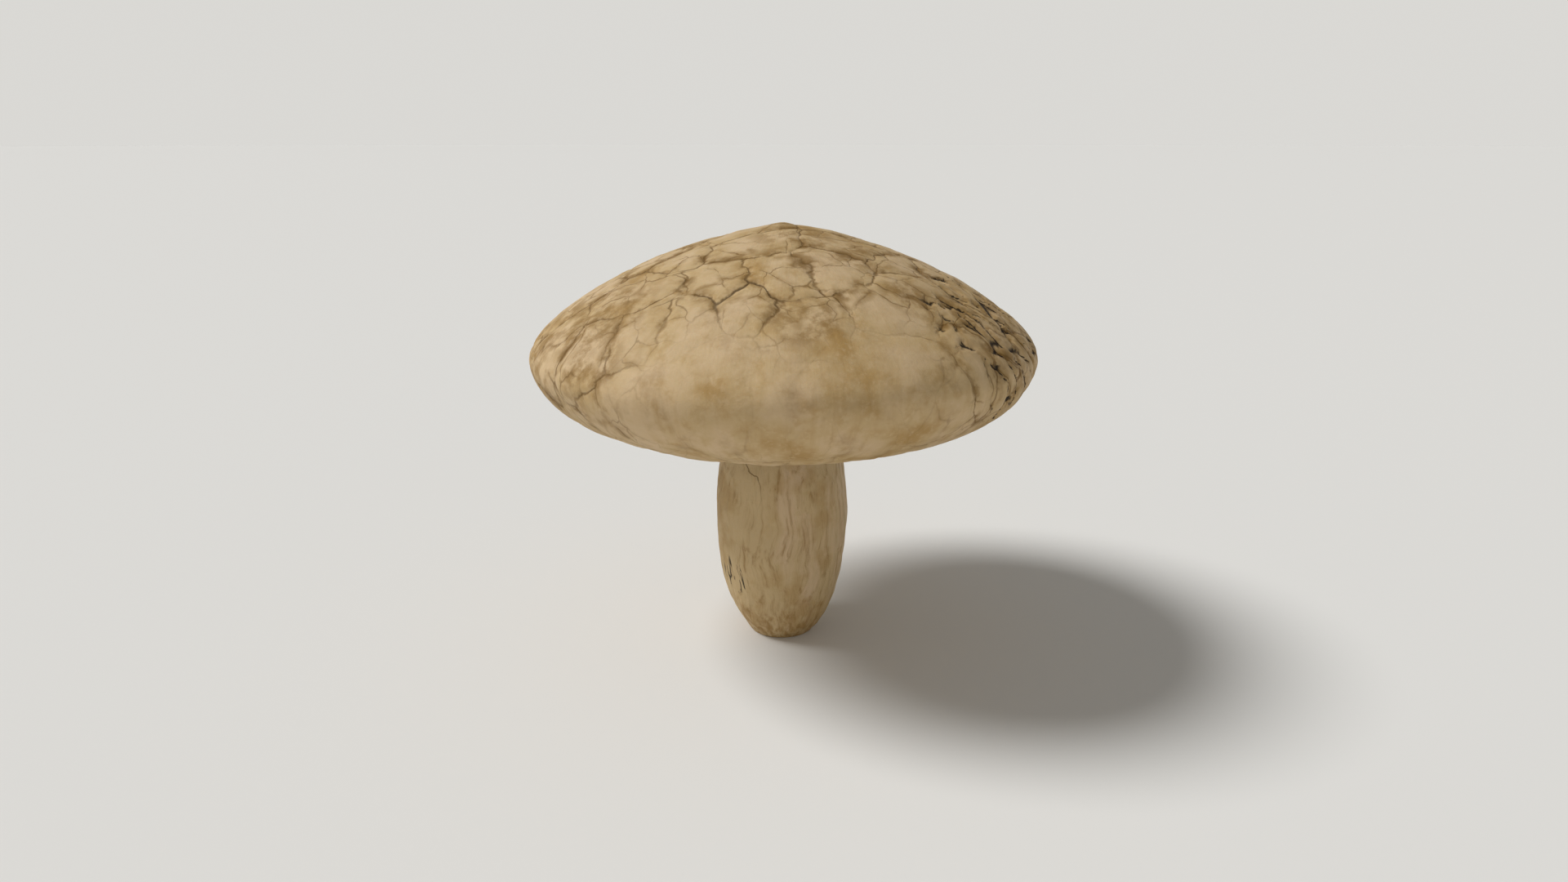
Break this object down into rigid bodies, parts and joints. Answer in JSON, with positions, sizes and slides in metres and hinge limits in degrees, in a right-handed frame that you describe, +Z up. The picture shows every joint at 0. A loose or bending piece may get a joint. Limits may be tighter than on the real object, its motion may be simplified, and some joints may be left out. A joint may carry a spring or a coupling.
{
  "type": "shiitake mushroom",
  "caption": "Fresh shiitake mushroom with a broad domed cap, turned-in margin and barrel-shaped stem, standing upright on its trimmed stem end.",
  "frame": {"origin": "centre of the flat, trimmed end of the stem, on the surface that the mushroom stands on", "axes": "+Z up along the stem to the apex of the cap; -Y faces the viewer of the picture and +X is to the right"},
  "size_m": [0.06, 0.06, 0.0512],
  "materials": {
    "cap_skin": "matte, cream plates parted by fine brown cracks with ochre stains",
    "gill_flesh": "matte, pale cream blades",
    "stem_skin": "matte, cream-tan with fine upright fibres",
    "cut_flesh": "matte, pale fibrous cut"
  },
  "bodies": {
    "root": {"fruit_body": "cap_skin"}
  },
  "joints": []
}
